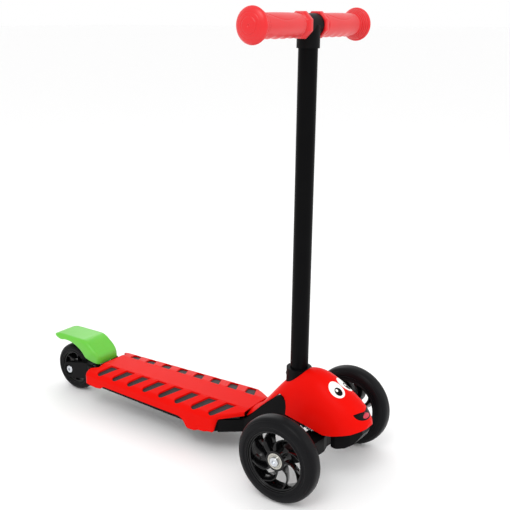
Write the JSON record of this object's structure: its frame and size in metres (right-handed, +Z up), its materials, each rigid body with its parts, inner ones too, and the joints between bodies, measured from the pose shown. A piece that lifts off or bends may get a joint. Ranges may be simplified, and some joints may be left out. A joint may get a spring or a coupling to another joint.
{
  "type": "kick scooter",
  "caption": "Child's lean-to-steer kick scooter: two front wheels, one rear wheel with a foot brake, slotted tread and a tall T-bar.",
  "frame": {"origin": "on the floor under the middle of the whole scooter", "axes": "+Z up, -Y to the front (snout), +X to the rider's left"},
  "size_m": [0.258, 0.5964, 0.6271],
  "materials": {
    "black_nylon": "satin moulded nylon",
    "red_abs": "gloss moulded ABS",
    "green_pp": "semi-gloss moulded polypropylene",
    "mat_rubber": "matt rubber",
    "grip_rubber": "soft satin rubber",
    "painted_steel": "satin black powder coat",
    "zinc_steel": "bright zinc plated",
    "spring_steel": "drawn spring wire",
    "bearing_steel": "ground bearing steel",
    "wheel_core": "gloss moulded nylon",
    "polyurethane": "cast polyurethane",
    "acetal": "natural acetal"
  },
  "bodies": {
    "deck": {"base_frame": "black_nylon", "brake_pin": "zinc_steel", "brake_spring": "spring_steel", "chin_cover": "black_nylon", "column_tube": "painted_steel", "deck_cover": "red_abs", "deck_screws": "zinc_steel", "grip_mat": "mat_rubber", "handlebar_tube": "painted_steel", "head_cover": "red_abs", "head_screws": "zinc_steel", "left_grip": "grip_rubber", "left_steering_spring": "spring_steel", "rear_axle_bolt": "zinc_steel", "rear_axle_nut": "zinc_steel", "rear_bearing_inner_rings": "bearing_steel", "rear_spacers": "zinc_steel", "release_spring": "spring_steel", "right_grip": "grip_rubber", "right_steering_spring": "spring_steel", "steering_bolt": "zinc_steel", "steering_nut": "zinc_steel", "steering_washers": "zinc_steel", "tee_joint": "black_nylon"},
    "truck": {"axle_carrier": "black_nylon", "pivot_bushes": "acetal", "front_axle_bolts": "zinc_steel", "front_axle_nuts": "zinc_steel", "front_spacers": "zinc_steel", "front_bearing_inner_rings": "bearing_steel"},
    "right_wheel": {"right_wheel_core": "wheel_core", "right_tyre": "polyurethane", "right_bearing_races": "bearing_steel"},
    "left_wheel": {"left_wheel_core": "wheel_core", "left_tyre": "polyurethane", "left_bearing_races": "bearing_steel"},
    "rear_wheel": {"rear_wheel_core": "wheel_core", "rear_tyre": "polyurethane", "rear_bearing_races": "bearing_steel"},
    "brake": {"brake_fender": "green_pp", "brake_plate": "zinc_steel", "brake_plate_screws": "zinc_steel"},
    "button": {"release_button": "black_nylon"}
  },
  "joints": [
    {"name": "lean_steer", "type": "hinge", "parent": "deck", "child": "truck", "pos_m": [0, -0.2325, 0.061], "axis": [0, -0.5736, 0.8192], "range_deg": [-13, 13], "stiffness_Nm_per_rad": 30, "deforming": ["right_steering_spring", "left_steering_spring"]},
    {"name": "right_wheel_spin", "type": "hinge", "parent": "truck", "child": "right_wheel", "pos_m": [-0.098, -0.2185, 0.06], "axis": [1, 0, 0], "continuous": true},
    {"name": "left_wheel_spin", "type": "hinge", "parent": "truck", "child": "left_wheel", "pos_m": [0.098, -0.2185, 0.06], "axis": [1, 0, 0], "continuous": true},
    {"name": "rear_wheel_spin", "type": "hinge", "parent": "deck", "child": "rear_wheel", "pos_m": [0, 0.2575, 0.04], "axis": [1, 0, 0], "continuous": true},
    {"name": "brake_press", "type": "hinge", "parent": "deck", "child": "brake", "pos_m": [0, 0.1955, 0.06], "axis": [-1, 0, 0], "range_deg": [0, 4.5], "stiffness_Nm_per_rad": 2, "springref_deg": -5.73, "deforming": ["brake_spring"]},
    {"name": "button_press", "type": "slide", "parent": "deck", "child": "button", "axis": [0, -0.9999, -0.014], "range_m": [0, 0.0045], "stiffness_N_per_m": 400, "springref_m": -0.003, "deforming": ["release_spring"]}
  ]
}
